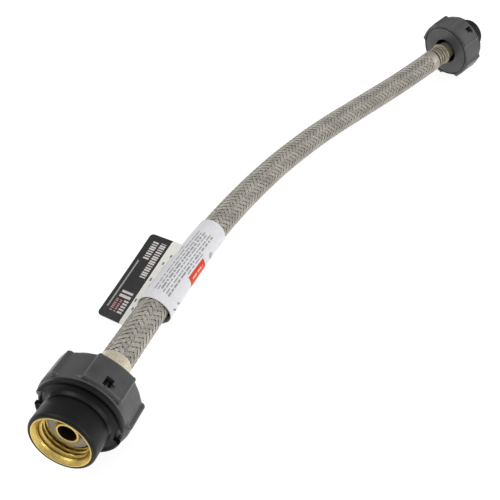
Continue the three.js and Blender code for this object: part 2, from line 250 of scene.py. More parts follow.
# Name, place, target, diameter (all in metres) and power.
LAMPS = (
    ("key", (-0.35, 0.55, 0.9), (0, 0, 0), 0.7, 3.6),
    ("fill", (0.35, -0.7, 0.75), (0, 0, 0), 0.8, 1.6),
    ("side", (0.05, -0.85, 0.3), (0, 0, 0.02), 0.6, 3.0),
    ("top", (-0.05, 0.0, 1.1), (0, 0, 0), 0.9, 1.6),
)
FLOOR = {"half": 12.0, "below": 0.0002, "glow": 0.86, "rough": 0.9}
WORLD_STRENGTH = 0.5


def linear(r, g, b):
    """A display colour of 0 to 255 as the linear colour that a socket takes."""
    return tuple(((c / 255 + 0.055) / 1.055) ** 2.4 if c > 10 else c / 3294 for c in (r, g, b)) + (1.0,)


PAPER = linear(216, 216, 218)
TEXT_GREY = linear(150, 150, 152)
SEAL_GREY = linear(168, 168, 168)
TICK_GREY = linear(120, 120, 120)
ORANGE = linear(208, 50, 10)
PALE_ORANGE = linear(246, 178, 158)
STRIP_PAPER = linear(226, 224, 218)
STRIP_INK = linear(110, 106, 98)
TAG_BLACK = linear(22, 22, 24)
TAG_PALE = linear(205, 198, 196)
TAG_GREY = linear(150, 152, 152)
TAG_ROSE = linear(190, 130, 125)
BRASS = (linear(206, 176, 92), linear(240, 216, 140))
STEM_BRASS = (linear(206, 174, 92), linear(240, 214, 138))
STEM_PLATE = (linear(136, 129, 114), linear(190, 182, 164))
# Painted shade for the bottom of a thread.
THREAD_ROOT_SHADE = linear(92, 66, 24)
# One ferrule metal in two tones: the near ferrule's are lighter with painted light, the far ferrule's darker with
# painted shade.
FERRULE_METAL_LIT_NEAR_SHADED_FAR = {"near": (linear(196, 186, 164), linear(236, 228, 208)),
                 "far": (linear(156, 150, 139), linear(186, 180, 168))}
# Painted shadow of the gap at the ferrule's outer end.
FERRULE_EDGE_SHADOW = (linear(50, 44, 36), linear(84, 76, 64))
# Painted shade deep inside the stem's bore.
BORE_SHADE = (linear(20, 14, 9), linear(34, 26, 18))
# Wire tones, dark to light; the wire's tone also carries painted shade between wires and painted highlight on them.
WIRE = (linear(130, 126, 118), linear(168, 164, 155), linear(200, 196, 187))
WASHER_RUBBER = (linear(158, 148, 128), linear(196, 186, 166))
NUT_BLACK = (linear(9, 9, 10), linear(16, 16, 17))
CAP_GREY = (linear(54, 54, 55), linear(74, 74, 75))
PAWL_BLACK = (linear(24, 24, 26), linear(44, 44, 46))
LINER_RUBBER = (linear(34, 32, 29), linear(52, 49, 45))
SLIP_WHITE = (linear(214, 212, 204), linear(236, 234, 228))
RING_GREY = (linear(50, 50, 51), linear(72, 72, 73))

# The tag's blocks of bars: start and stop along it, left and right across it, spacing and ink.
TAG_BLOCKS = [
    (25.0, 45.6, 1.6, 5.0, 1.35, TAG_PALE), (35.0, 45.6, 6.2, 9.6, 1.35, TAG_PALE),
    (12.4, 16.6, 1.8, 8.6, 2.2, TAG_PALE), (4.4, 11.2, 1.6, 4.4, 1.5, TAG_PALE),
    (4.4, 11.2, 5.2, 6.6, 1.0, TAG_ROSE), (4.4, 11.2, 7.4, 8.8, 1.0, TAG_ROSE),
]


# ---- camera, first ----
def make_camera():
    data = bpy.data.cameras.new("camera")
    data.sensor_width = CAMERA["sensor"]
    data.lens = CAMERA["lens_over_width"] * data.sensor_width
    data.clip_start = CAMERA["clip"]
    camera = bpy.data.objects.new("camera", data)
    bpy.context.scene.collection.objects.link(camera)
    heading, down = math.radians(CAMERA["heading"]), math.radians(CAMERA["down"])
    look = Vector((math.cos(down) * math.cos(heading), math.cos(down) * math.sin(heading), -math.sin(down)))
    camera.location = Vector(CAMERA["at"]) * MM
    camera.rotation_euler = look.to_track_quat("-Z", "Y").to_euler()
    bpy.context.scene.camera = camera


# ---- the route ----
def catmull(points, per_span=40):
    """A centripetal Catmull-Rom curve through the points."""
    padded = np.vstack([2 * points[0] - points[1], points, 2 * points[-1] - points[-2]])
    out = []
    for i in range(len(points) - 1):
        a, b, c, d = padded[i:i + 4]
        t1 = math.sqrt(np.linalg.norm(b - a))
        t2 = t1 + math.sqrt(np.linalg.norm(c - b))
        t3 = t2 + math.sqrt(np.linalg.norm(d - c))
        for t in np.linspace(t1, t2, per_span, endpoint=False):
            ab = (t1 - t) / t1 * a + t / t1 * b
            bc = (t2 - t) / (t2 - t1) * b + (t - t1) / (t2 - t1) * c
            cd = (t3 - t) / (t3 - t2) * c + (t - t2) / (t3 - t2) * d
            abc = (t2 - t) / t2 * ab + t / t2 * bc
            bcd = (t3 - t) / (t3 - t1) * bc + (t - t1) / (t3 - t1) * cd
            out.append((t2 - t) / (t2 - t1) * abc + (t - t1) / (t2 - t1) * bcd)
    out.append(points[-1])
    return np.array(out)


LINE = catmull(ROUTE_MM)
STATION = np.concatenate([[0.0], np.cumsum(np.linalg.norm(np.diff(LINE, axis=0), axis=1))])
ROUTE_LENGTH = STATION[-1]


def along(stations, reach=2):
    """Points of the centre line at these lengths along it, with unit tangent, side and upward directions."""
    stations = np.atleast_1d(stations)

    def at(s):
        return np.stack([np.interp(s, STATION, LINE[:, k]) for k in range(3)], axis=-1)

    tangent = at(np.minimum(stations + reach, ROUTE_LENGTH)) - at(np.maximum(stations - reach, 0))
    tangent /= np.linalg.norm(tangent, axis=1, keepdims=True)
    side = np.cross(tangent, UP)
    side /= np.linalg.norm(side, axis=1, keepdims=True)
    return at(stations), tangent, side, np.cross(side, tangent)


# ---- mesh helpers ----
def make(name, verts, faces, smooth_angle=35):
    mesh = bpy.data.meshes.new(name)
    mesh.from_pydata((np.asarray(verts) * MM).tolist(), [], faces)
    mesh.update()
    work = bmesh.new()
    work.from_mesh(mesh)
    bmesh.ops.recalc_face_normals(work, faces=work.faces)
    work.to_mesh(mesh)
    work.free()
    mesh.shade_smooth()
    mesh.set_sharp_from_angle(angle=math.radians(smooth_angle))
    piece = bpy.data.objects.new(name, mesh)
    bpy.context.scene.collection.objects.link(piece)
    return piece


def grid_faces(rows, columns, close_rows=False):
    """Quads over rows of points, where each row closes on itself."""
    faces = []
    for i in range(rows if close_rows else rows - 1):
        for j in range(columns):
            a, b = i * columns + j, i * columns + (j + 1) % columns
            c, d = ((i + 1) % rows) * columns + (j + 1) % columns, ((i + 1) % rows) * columns + j
            faces.append((a, b, c, d))
    return faces


def rounded(outline, closed=True, steps=4, most_of_side=0.45):
    """Rounds the corners of an outline of (r, y, radius)."""
    out = []
    count = len(outline)
    for i, (r, y, radius) in enumerate(outline):
        here = np.array([r, y])
        if radius <= 0 or (not closed and i in (0, count - 1)):
            out.append(here)
            continue
        before = np.array(outline[i - 1][:2]) - here
        after = np.array(outline[(i + 1) % count][:2]) - here
        back, ahead = np.linalg.norm(before), np.linalg.norm(after)
        reach = min(radius, most_of_side * back, most_of_side * ahead)
        a = here + before / back * reach
        b = here + after / ahead * reach
        for k in range(steps + 1):
            t = k / steps
            out.append((1 - t) ** 2 * a + 2 * t * (1 - t) * here + t ** 2 * b)
    return out


def circle(sides):
    return np.arange(sides) * 2 * math.pi / sides


def from_quarter(angles, centre):
    """Each angle's distance, in degrees, from the nearest of four places a quarter turn apart."""
    return np.array([(math.degrees(a) - centre + QUARTER / 2) % QUARTER - QUARTER / 2 for a in angles])


def revolve(name, outline, sides=96):
    """A closed solid of revolution about +Y, in an end fitting's own frame."""
    profile = rounded(outline)
    verts = [(r * math.sin(a), y, r * math.cos(a)) for r, y in profile for a in circle(sides)]
    return name, np.array(verts), grid_faces(len(profile), sides, close_rows=True), 35


def swept(name, rings, angles, smooth_angle):
    """A closed solid about +Y from rings of (radii, y), with one radius for each angle."""
    verts = [(r * math.sin(a), y, r * math.cos(a)) for radii, y in rings for r, a in zip(radii, angles)]
    return name, np.array(verts), grid_faces(len(rings), len(angles), close_rows=True), smooth_angle


def basis(end):
    """The fitting's origin, and its side, outward and upward axes as rows."""
    out = np.array(end["out"]) / np.linalg.norm(end["out"])
    side = np.cross(out, UP)
    side /= np.linalg.norm(side)
    return end["origin"], np.stack([side, out, np.cross(side, out)])


def put(end, made):
    """Makes a piece from a shape in the end's own frame, in its place in the row frame."""
    name, verts, faces, smooth_angle = made
    origin, axes = basis(end)
    return make(f"{end['prefix']}_{name}", origin + verts @ axes, faces, smooth_angle)


def local_centre(end, polygon):
    origin, axes = basis(end)
    return (np.array(polygon.center) / MM - origin) @ axes.T


def cut(piece, cutters, smooth_angle=32):
    """Takes the cutters out of the piece, and removes them."""
    for cutter in cutters:
        modifier = piece.modifiers.new("cut", "BOOLEAN")
        modifier.object = cutter
        modifier.operation = "DIFFERENCE"
        modifier.solver = "EXACT"
    bpy.context.view_layer.update()
    done = bpy.data.meshes.new_from_object(piece.evaluated_get(bpy.context.evaluated_depsgraph_get()))
    piece.modifiers.clear()
    piece.data = done
    done.shade_smooth()
    done.set_sharp_from_angle(angle=math.radians(smooth_angle))
    for cutter in cutters:
        bpy.data.objects.remove(cutter)


def prism_at(end, name, outline, angle, low, high):
    """A cutter: an outline of (across, y), square to the radius at an angle, from radius low to radius high.
    An outline point may carry its own low radius as a third number."""
    origin, axes = basis(end)
    a = math.radians(angle)
    radial = np.array([math.sin(a), 0, math.cos(a)])
    across = np.array([math.cos(a), 0, -math.sin(a)])
    ring = [(p[0], p[1], p[2] if len(p) > 2 else low) for p in outline]
    bottom = [across * u + np.array([0, y, 0]) + radial * r for u, y, r in ring]
    top = [across * u + np.array([0, y, 0]) + radial * high for u, y, r in ring]
    count = len(outline)
    faces = [tuple(range(count)), tuple(range(2 * count - 1, count - 1, -1))]
    faces += [(i, (i + 1) % count, count + (i + 1) % count, count + i) for i in range(count)]
    return make(name, origin + np.array(bottom + top) @ axes, faces, 30)


def box_outline(half, start, stop):
    return [(-half, start), (half, start), (half, stop), (-half, stop)]


# ---- materials ----
class Paint:
    """A procedural material on one Principled shader."""

    def __init__(self, name, metallic=0.0, **sockets):
        self.material = bpy.data.materials.new(name)
        self.material.use_nodes = True
        self.nodes = self.material.node_tree.nodes
        self.links = self.material.node_tree.links
        self.shader = self.nodes["Principled BSDF"]
        self.shader.inputs["Metallic"].default_value = metallic
        for key, value in sockets.items():
            self.shader.inputs[key.replace("_", " ")].default_value = value
        self.place = self.node("ShaderNodeTexCoord").outputs["Object"]

    def node(self, kind, **settings):
        made = self.nodes.new(kind)
        for key, value in settings.items():
            setattr(made, key, value)
        return made

    def link(self, a, b):
        self.links.new(a, b)

    def noise(self, scale, detail=3.0):
        made = self.node("ShaderNodeTexNoise")
        made.inputs["Scale"].default_value = scale
        made.inputs["Detail"].default_value = detail
        self.link(self.place, made.inputs["Vector"])
        return made.outputs["Fac"]

    def ramp(self, value, stops):
        made = self.node("ShaderNodeValToRGB")
        made.color_ramp.elements[0].position = stops[0][0]
        made.color_ramp.elements[0].color = stops[0][1]
        made.color_ramp.elements[1].position = stops[-1][0]
        made.color_ramp.elements[1].color = stops[-1][1]
        for position, color in stops[1:-1]:
            made.color_ramp.elements.new(position).color = color
        self.link(value, made.inputs["Fac"])
        return made.outputs["Color"]

    def span(self, value, low, high, at_low, at_high):
        made = self.node("ShaderNodeMapRange")
        for key, number in (("From Min", low), ("From Max", high), ("To Min", at_low), ("To Max", at_high)):
            made.inputs[key].default_value = number
        self.link(value, made.inputs["Value"])
        return made.outputs["Result"]

    def math(self, operation, a, b=None):
        made = self.node("ShaderNodeMath", operation=operation)
        for socket, value in ((0, a), (1, b)):
            if value is None:
                continue
            if isinstance(value, (int, float)):
                made.inputs[socket].default_value = value
            else:
                self.link(value, made.inputs[socket])
        return made.outputs[0]

    def weighted(self, *terms):
        """The sum of the values, each times its weight."""
        total = None
        for value, weight in terms:
            part = self.math("MULTIPLY", value, weight)
            total = part if total is None else self.math("ADD", total, part)
        return total

    def attribute(self, name, output="Fac"):
        return self.node("ShaderNodeAttribute", attribute_name=name).outputs[output]

    def mix(self, factor, a, b, blend="MIX"):
        made = self.node("ShaderNodeMix", data_type="RGBA", blend_type=blend)
        for socket, value in ((0, factor), (6, a), (7, b)):
            if isinstance(value, (int, float, tuple)):
                made.inputs[socket].default_value = value
            else:
                self.link(value, made.inputs[socket])
        return made.outputs[2]

    def color(self, value):
        self.link(value, self.shader.inputs["Base Color"])

    def rough(self, scale, detail, low, high):
        """Roughness that wanders from low to high in patches."""
        self.link(self.span(self.noise(scale, detail), 0.3, 0.7, low, high), self.shader.inputs["Roughness"])

    def bump(self, height, distance, strength=1.0):
        made = self.node("ShaderNodeBump")
        made.inputs["Distance"].default_value = distance * MM
        made.inputs["Strength"].default_value = strength
        self.link(height, made.inputs["Height"])
        if self.shader.inputs["Normal"].is_linked:
            self.link(self.shader.inputs["Normal"].links[0].from_socket, made.inputs["Normal"])
        self.link(made.outputs["Normal"], self.shader.inputs["Normal"])


def moulded(name, tones, rough, grain=0.02, scale=900, gloss=0.5):
    """Moulded plastic or rubber: two near tones in wide and fine patches, and a fine grain."""
    paint = Paint(name, Specular_IOR_Level=gloss)
    tone = paint.weighted((paint.noise(90, 3), 0.75), (paint.noise(2400, 2), 0.25))
    paint.color(paint.ramp(tone, [(0.3, tones[0]), (0.7, tones[1])]))
    paint.rough(350, 4, rough - 0.06, rough + 0.08)
    paint.bump(paint.noise(scale, 3), grain, 0.6)
    return paint.material


def turned(name, end, tones, rough, metallic=1.0, ring=0.28):
    """Metal with fine rings left by turning, which follow the fitting's own axis. The mesh's root
    attribute, where it has one, paints shade into the bottom of a thread."""
    paint = Paint(name, metallic)
    origin, axes = basis(end)
    shifted = paint.node("ShaderNodeVectorMath", operation="SUBTRACT")
    shifted.inputs[1].default_value = tuple(origin * MM)
    paint.link(paint.place, shifted.inputs[0])
    distance = paint.node("ShaderNodeVectorMath", operation="DOT_PRODUCT")
    distance.inputs[1].default_value = tuple(axes[1])
    paint.link(shifted.outputs[0], distance.inputs[0])
    rings = paint.math("SINE", paint.math("MULTIPLY", distance.outputs["Value"], 2 * math.pi / (ring * MM)))
    tone = paint.weighted((rings, 0.06), (paint.noise(1500, 2), 0.8))
    # Painted shade: the deeper a point lies in the thread, the more its colour goes to dark brown.
    shade = paint.span(paint.attribute("root"), 0.35, 1.0, 0.0, 0.8)
    paint.color(paint.mix(shade, paint.ramp(tone, [(0.28, tones[0]), (0.72, tones[1])]), THREAD_ROOT_SHADE))
    paint.rough(700, 3, rough - 0.07, rough + 0.09)
    paint.bump(rings, 0.008, 0.4)
    paint.bump(paint.noise(1500, 2), 0.01, 0.4)
    return paint.material


def braid_material():
    """Dull metal wire: strands differ a little, with painted shade in the valleys between their wires and painted
    highlight on their crowns.
    """
    paint = Paint("braid_wire", 0.3, Specular_IOR_Level=0.4)
    phase = paint.math("MULTIPLY", paint.attribute("across"), 2 * math.pi * BRAID["wires"])
    # Painted shade and highlight: darker in the valleys between wires, lighter on their crowns.
    wires = paint.math("COSINE", phase)
    tone = paint.weighted((paint.attribute("strand"), 0.2), (wires, -0.16), (paint.noise(900, 2), 0.5))
    paint.color(paint.ramp(tone, [(0.1, WIRE[0]), (0.4, WIRE[1]), (0.8, WIRE[2])]))
    paint.rough(500, 3, 0.42, 0.58)
    paint.bump(paint.noise(1800, 2), 0.02, 0.5)
    return paint.material


def printed(name, rough, film, gloss):
    """A printed film or card: its ink is a colour attribute that the mesh carries."""
    paint = Paint(name, Specular_IOR_Level=gloss)
    fibre = paint.ramp(paint.noise(700, 4), [(0.3, (0.9, 0.9, 0.9, 1)), (0.7, (1, 1, 1, 1))])
    paint.color(paint.mix(1.0, paint.attribute("ink", "Color"), fibre, "MULTIPLY"))
    paint.rough(260, 3, rough - 0.05, rough + 0.07)
    paint.bump(paint.noise(130, 3), film, 0.5)
    return paint.material


def wear(piece, material, slot_name):
    piece.data.materials.clear()
    piece.data.materials.append(material)
    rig.slot(piece, slot_name)


def ink_layer(piece, colors):
    """Writes one colour per face of a printed piece."""
    layer = piece.data.color_attributes.new("ink", "FLOAT_COLOR", "CORNER")
    values = np.ones((len(piece.data.loops), 4))
    for polygon in piece.data.polygons:
        values[polygon.loop_start:polygon.loop_start + polygon.loop_total] = colors[polygon.index]
    layer.data.foreach_set("color", values.ravel())


# ---- the hose ----
def braid():
    """Both families of flat strands, over two and under two, as closed ribbons in one mesh."""
    rng = random.Random(4)
    count, wires = BRAID["carriers"], BRAID["wires"]
    start, stop = BRAID["ends"], ROUTE_LENGTH - BRAID["ends"]
    middle = HOSE_R - BRAID["thick"] / 2 - BRAID["wave"]
    lean = math.radians(BRAID["angle"])
    step = math.pi / count / (math.tan(lean) / middle)
    crossings = int((stop - start) / step)
    m = np.arange(crossings + 1)
    centre, tangent, side, upward = along(start + (stop - start) * m / crossings)
    section = [(i / (2 * wires) - 0.5, WIRE_TOP if i % 2 else WIRE_VALLEY) for i in range(2 * wires + 1)]
    section += [(0.0, STRAND_BACK)]
    verts, faces, across, strand = [], [], [], []
    for family in (1, -1):
        for k in range(count):
            angle = 2 * math.pi * k / count + family * m * math.pi / count
            over = (2 * k + family * m) % 4 < 2
            lift = np.where(over, 1.0, -1.0) * family * BRAID["wave"]
            outward = np.cos(angle)[:, None] * side + np.sin(angle)[:, None] * upward
            around = -np.sin(angle)[:, None] * side + np.cos(angle)[:, None] * upward
            square = around * math.cos(lean) - tangent * math.sin(lean) * family
            shade = rng.random()
            rows = []
            for u, h in section:
                rise = (middle + lift + h * BRAID["thick"])[:, None]
                rows.append(centre + outward * rise + square * u * BRAID["width"])
            ribbon = np.stack(rows, axis=1).reshape(-1, 3)
            base = len(verts)
            last = base + crossings * len(section)
            verts.extend(ribbon)
            across.extend([u for u, h in section] * (crossings + 1))
            strand.extend([shade] * len(ribbon))
            for face in grid_faces(crossings + 1, len(section)):
                faces.append(tuple(base + i for i in face))
            faces.append(tuple(base + i for i in range(len(section))))
            faces.append(tuple(last + i for i in reversed(range(len(section)))))
    piece = make("woven_braid", verts, faces, 60)
    for name, values in (("across", across), ("strand", strand)):
        piece.data.attributes.new(name, "FLOAT", "POINT").data.foreach_set("value", values)
    wear(piece, braid_material(), "braid")
    path = [tuple(p * MM) for p in along(np.linspace(start, stop, PATH_POINTS))[0]]
    return piece, path, (stop - start) * MM


def text_rows():
    """For each printed row, its dashes as (start, stop) along the label. The last row is shorter."""
    rng = random.Random(11)
    rows = []
    for row in range(TEXT["rows"]):
        last = row == TEXT["rows"] - 1
        s = TEXT["last_start" if last else "start"] + rng.random() * 2
        limit = TEXT["last_stop" if last else "stop"] - rng.random() * 3
        dashes = []
        while s < limit:
            length = TEXT["dash"] + rng.random() * TEXT["dash_more"]
            dashes.append((s, min(s + length, limit)))
            s += length + TEXT["space"] + rng.random() * TEXT["space_more"]
        rows.append(dashes)
    return rows


def label_ink(s, angle, rows):
    """The ink at a length along the label and an angle round it: dashes, a warm bar and small marks."""
    for row, dashes in enumerate(rows):
        off = abs(angle - (TEXT["first"] + row * TEXT["apart"]))
        if off < TEXT["half"] and any(a < s < b for a, b in dashes):
            return TEXT_GREY
    if BAR["start"] < s < BAR["stop"] and BAR["low"] < angle < BAR["high"]:
        in_text = BAR_TEXT["start"] < s < BAR_TEXT["stop"] and BAR_TEXT["low"] < angle < BAR_TEXT["high"]
        return PALE_ORANGE if in_text and s % BAR_TEXT["every"] < BAR_TEXT["dash"] else ORANGE
    if math.hypot(s - SEAL["at"], (angle - SEAL["angle"]) * SEAL["mm_per_degree"]) < SEAL["r"]:
        return SEAL_GREY
    for at in TICKS["at"]:
        off = abs(angle - TICKS["angle"] - (s - at) * TICKS["slant"])
        if abs(s - at) < TICKS["half"] and off < TICKS["half_angle"]:
            return TICK_GREY
    return PAPER


def wrap_label():
    start, stop, inner = LABEL["start"], LABEL["stop"], LABEL["inner"]
    rows = text_rows()
    stations = np.linspace(start, stop, LABEL_RINGS)
    centre, tangent, side, upward = along(stations)
    layers = []
    out_and_back = ((inner + LABEL["thick"], range(LABEL_RINGS)), (inner, reversed(range(LABEL_RINGS))))
    for radius, order in out_and_back:
        for i in order:
            for a in circle(LABEL_SIDES):
                loose = max(0.0, math.cos(a - math.radians(LABEL["loose_at"]))) ** 3
                puff = LABEL["loose"] * loose * (1 - (stations[i] - start) / (stop - start))
                if radius > inner:
                    wave = LABEL["ripples"] * a + stations[i] * LABEL["ripple_twist"]
                    puff += LABEL["ripple"] * math.sin(wave)
                layers.append(centre[i] + (radius + puff) * (math.cos(a) * upward[i] + math.sin(a) * side[i]))
    piece = make("printed_label", layers, grid_faces(2 * LABEL_RINGS, LABEL_SIDES, close_rows=True), 50)
    colors = []
    for polygon in piece.data.polygons:
        i, j = divmod(polygon.index, LABEL_SIDES)
        if i < LABEL_RINGS - 1:
            angle = (360 * (j + 0.5) / LABEL_SIDES + 180) % 360 - 180
            colors.append(label_ink((stations[i] + stations[i + 1]) / 2 - start, angle, rows))
        else:
            colors.append(PAPER)
    ink_layer(piece, colors)
    wear(piece, printed("label_film", 0.42, 0.05, 0.3), "label_film")
    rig.replaces(piece, "wrap_label")
    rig.ride(piece, "hose")
    return piece


def tag_ink(out, s):
    """The ink at a distance out from the tag's hose side and a length from its near end."""
    panel = out - TAG["strip"]
    if panel < 0:
        for at, offset in STRIP_MARKS:
            if abs(s - at) < STRIP_MARK_HALF[0] and abs(panel - offset) < STRIP_MARK_HALF[1]:
                return STRIP_INK
        return STRIP_PAPER
    for start, stop, left, right, every, ink in TAG_BLOCKS:
        if start < s < stop and left < panel < right and (s - start) % every < STROKE * every:
            return ink
    if TAG_LINE["start"] < s < TAG_LINE["stop"] and abs(panel - TAG_LINE["out"]) < TAG_LINE["half"]:
        return TAG_GREY
    return TAG_BLACK


def tag_axes():
    """Unit directions along the tag, out from the hose and up from its face."""
    pitch, heading, roll = (math.radians(TAG[key]) for key in ("pitch", "heading", "roll"))
    long_way = np.array([math.cos(heading), math.sin(heading), math.tan(pitch)])
    long_way /= np.linalg.norm(long_way)
    level = np.cross(UP, long_way)
    level /= np.linalg.norm(level)
    out_way = level * math.cos(roll) + np.cross(long_way, level) * math.sin(roll)
    return long_way, out_way, np.cross(out_way, long_way)


def hang_tag():
    long_way, out_way, face_way = tag_axes()
    rows, columns = TAG_ROWS, TAG_COLUMNS
    verts = []
    for top in (True, False):
        for i in range(rows + 1):
            s = TAG["length"] * i / rows
            edge = min(s, TAG["length"] - s)
            width = TAG["width"]
            if edge < TAG["round"]:
                width -= TAG["round"] - math.sqrt(TAG["round"] ** 2 - (TAG["round"] - edge) ** 2)
            for j in range(columns + 1):
                out = width * j / columns
                lift = TAG["curl"] * math.sin(math.pi * i / rows) * (out / TAG["width"]) ** 2
                lift += TAG["thick"] if top else 0.0
                verts.append(np.array(TAG["corner"]) + out_way * out + long_way * s + face_way * lift)
    wide = columns + 1
    lower = (rows + 1) * wide
    faces, cells = [], []
    for i in range(rows):
        for j in range(columns):
            a = i * wide + j
            faces.append((a, a + 1, a + wide + 1, a + wide))
            faces.append((lower + a, lower + a + wide, lower + a + wide + 1, lower + a + 1))
            cells += [(i, j)] * 2
    rim = [(0, j) for j in range(columns)] + [(i, columns) for i in range(rows)]
    rim += [(rows, j) for j in range(columns, 0, -1)] + [(i, 0) for i in range(rows, 0, -1)]
    for (i, j), (k, m) in zip(rim, rim[1:] + rim[:1]):
        a, b = i * wide + j, k * wide + m
        faces.append((a, b, lower + b, lower + a))
        cells.append((min(i, rows - 1), min(j, columns - 1)))
    piece = make("flag_tag", verts, faces, 40)
    colors = [tag_ink(TAG["width"] * (j + 0.5) / columns, TAG["length"] * (i + 0.5) / rows) for i, j in cells]
    ink_layer(piece, colors)
    wear(piece, printed("tag_card", 0.4, 0.04, 0.25), "tag_card")
    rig.replaces(piece, "hang_tag")
    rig.ride(piece, "hose")
    return piece


# ---- the end fittings ----
def ferrule(end):
    prefix, length, r, inner = end["prefix"], FERRULE["length"], FERRULE["r"], FERRULE["inner"]
    piece = put(end, revolve("crimp_ferrule", [
        (inner, -length, 0), (r - 0.15, -length, 0.2), (r, 0.3 - length, 0.2), (r - 0.08, -4.6, 0.3),
        (r, -4.2, 0.3), (r, -0.8, 0.3), (r - 0.4, 0, 0.4), (FERRULE["end_r"], 0, 0.1),
        (FERRULE["end_r"], -FERRULE["end"], 0), (inner, -FERRULE["end"], 0)]))
    metal = turned(f"{prefix}_ferrule_metal", end, FERRULE_METAL_LIT_NEAR_SHADED_FAR[prefix], 0.38, 0.6, 0.5)
    wear(piece, metal, "ferrule_metal")
    piece.data.materials.append(moulded(f"{prefix}_ferrule_edge_shadow", FERRULE_EDGE_SHADOW, 0.5))
    # Faces at the ferrule's outer end take the painted shadow.
    for polygon in piece.data.polygons:
        if local_centre(end, polygon)[1] > -FERRULE["edge"]:
            polygon.material_index = 1
    return piece


def stem_outline(e):
    """Barb inside the hose, ribbed neck, plain barrel, flange and nozzle, then back down the bore."""
    bore, valley = BARB["bore"], BARB["valley_r"]
    neck, ridge_r, lip = NECK["r"], NECK["ridge_r"], NECK["lip_r"]
    flange_start, flange_end, nozzle_end = e["flange_start"], e["flange_end"], e["nozzle_end"]
    outline = [(bore, -BARB["start"], 0)]
    for i in range(BARB["ribs"]):
        y = 0.2 - BARB["start"] + i * BARB["apart"]
        outline += [(valley, y, 0), (BARB["r"], y + BARB["rise"], 0.1)]
    outline += [(valley, -1.9, 0), (valley, GAP, 0), (neck - 0.1, GAP, 0.1), (neck - 0.1, 0.8, 0.1)]
    outline += [(ridge_r - 0.1, 1.0, 0.2), (ridge_r - 0.1, 2.2, 0.2)]
    for y in NECK["ridges"]:
        outline += [(neck, y, 0.15), (neck, y + 0.5, 0.15), (ridge_r, y + 0.7, 0.2), (ridge_r, y + 1.6, 0.2)]
    outline += [(5.6, 6.8, 0.2), (6.2, 7.3, 0.2), (lip - 0.1, 7.6, 0.2), (lip, 8.6, 0.3), (7.0, 8.9, 0.2)]
    outline += [(NECK["stem_r"], 8.9, 0.1), (NECK["stem_r"], flange_start, 0.1)]
    outline += [(e["flange_r"], flange_start, 0.2), (e["flange_r"], flange_end, 0.2)]
    outline += [(e["nozzle_r"], flange_end, 0.1), (e["nozzle_r"], nozzle_end, 0.35)]
    outline += [(e["nozzle_bore"], nozzle_end, 0.25), (e["nozzle_bore"], flange_start - 4, 0.2)]
    return outline + [(bore, flange_start - 6, 0)]


def stem(end):
    """The stem: plated outside behind the nut's web, plain brass in front of it, and painted shade in its bore."""
    prefix = end["prefix"]
    piece = put(end, revolve("ribbed_stem", stem_outline(end)))
    wear(piece, turned(f"{prefix}_stem_brass", end, STEM_BRASS, 0.3), "stem_brass")
    piece.data.materials.append(turned(f"{prefix}_stem_plate", end, STEM_PLATE, 0.34, 0.6, 0.6))
    piece.data.materials.append(moulded(f"{prefix}_bore_shade", BORE_SHADE, 0.5))
    for polygon in piece.data.polygons:
        x, y, z = local_centre(end, polygon)
        # Faces deep in the bore take the painted shade.
        if math.hypot(x, z) < end["nozzle_bore"] + 0.1 and y < end["nozzle_end"] - 0.7:
            polygon.material_index = 2
        elif -2 < y < end["web"][0]:
            polygon.material_index = 1
    return piece


def washer(end):
    bore, back, front = end["nozzle_r"] + 0.12, end["flange_end"] + 0.1, end["washer_end"]
    piece = put(end, revolve("seal_washer", [
        (bore, back, 0), (end["washer_back_r"], back, 0.2), (end["washer_r"], front - 0.9, 0.3),
        (end["washer_face_r"], front, 0.35), (bore + 0.9, front, 0.3), (bore, front - 0.4, 0.2)]))
    wear(piece, moulded(f"{end['prefix']}_washer_rubber", WASHER_RUBBER, 0.6, 0.03, 1400), "washer_rubber")
    return piece


def thread_insert(end):
    """The brass insert, with a true helical thread in its bore that runs out towards the mouth."""
    crest, root, pitch, rim, back = (end[key] for key in ("crest_r", "root_r", "pitch", "rim", "insert_back"))
    mouth = rim - end["plain"]
    length = mouth - back
    count = int(length / pitch * THREAD["rings_per_turn"])
    angles = circle(120)
    outer = rounded([(crest + 0.9, back, 0.2), (end["insert_r"], back, 0.3), (end["insert_r"], rim, 0.2),
                     (end["mouth_r"], rim, 0.25), (end["bore_mouth_r"], rim - 1.5, 0.4),
                     (end["bore_mouth_r"] - 0.1, mouth + 0.1, 0.2)], closed=False)
    rings = [([r] * len(angles), y) for r, y in outer]
    for i in range(1, count):
        y = mouth - length * i / count
        fade = min(1.0, (mouth - y) / (THREAD["run_out"] * pitch))
        radii = []
        for a in angles:
            turn = (y / pitch - a / (2 * math.pi)) % 1.0
            tooth = min(1.0, max(0.0, THREAD["flank"] * (1 - abs(2 * turn - 1)) - THREAD["cut"]))
            radii.append(root - (root - crest) * tooth * fade)
        rings.append((radii, y))
    piece = put(end, swept("brass_thread", rings, angles, 40))
    # How deep each point lies in the thread, which the brass uses for its painted shade.
    depth = [(r - crest) / (root - crest) if back < y < mouth else 0 for radii, y in rings for r in radii]
    piece.data.attributes.new("root", "FLOAT", "POINT").data.foreach_set("value", depth)
    wear(piece, turned(f"{end['prefix']}_insert_brass", end, BRASS, 0.36), "insert_brass")
    return piece


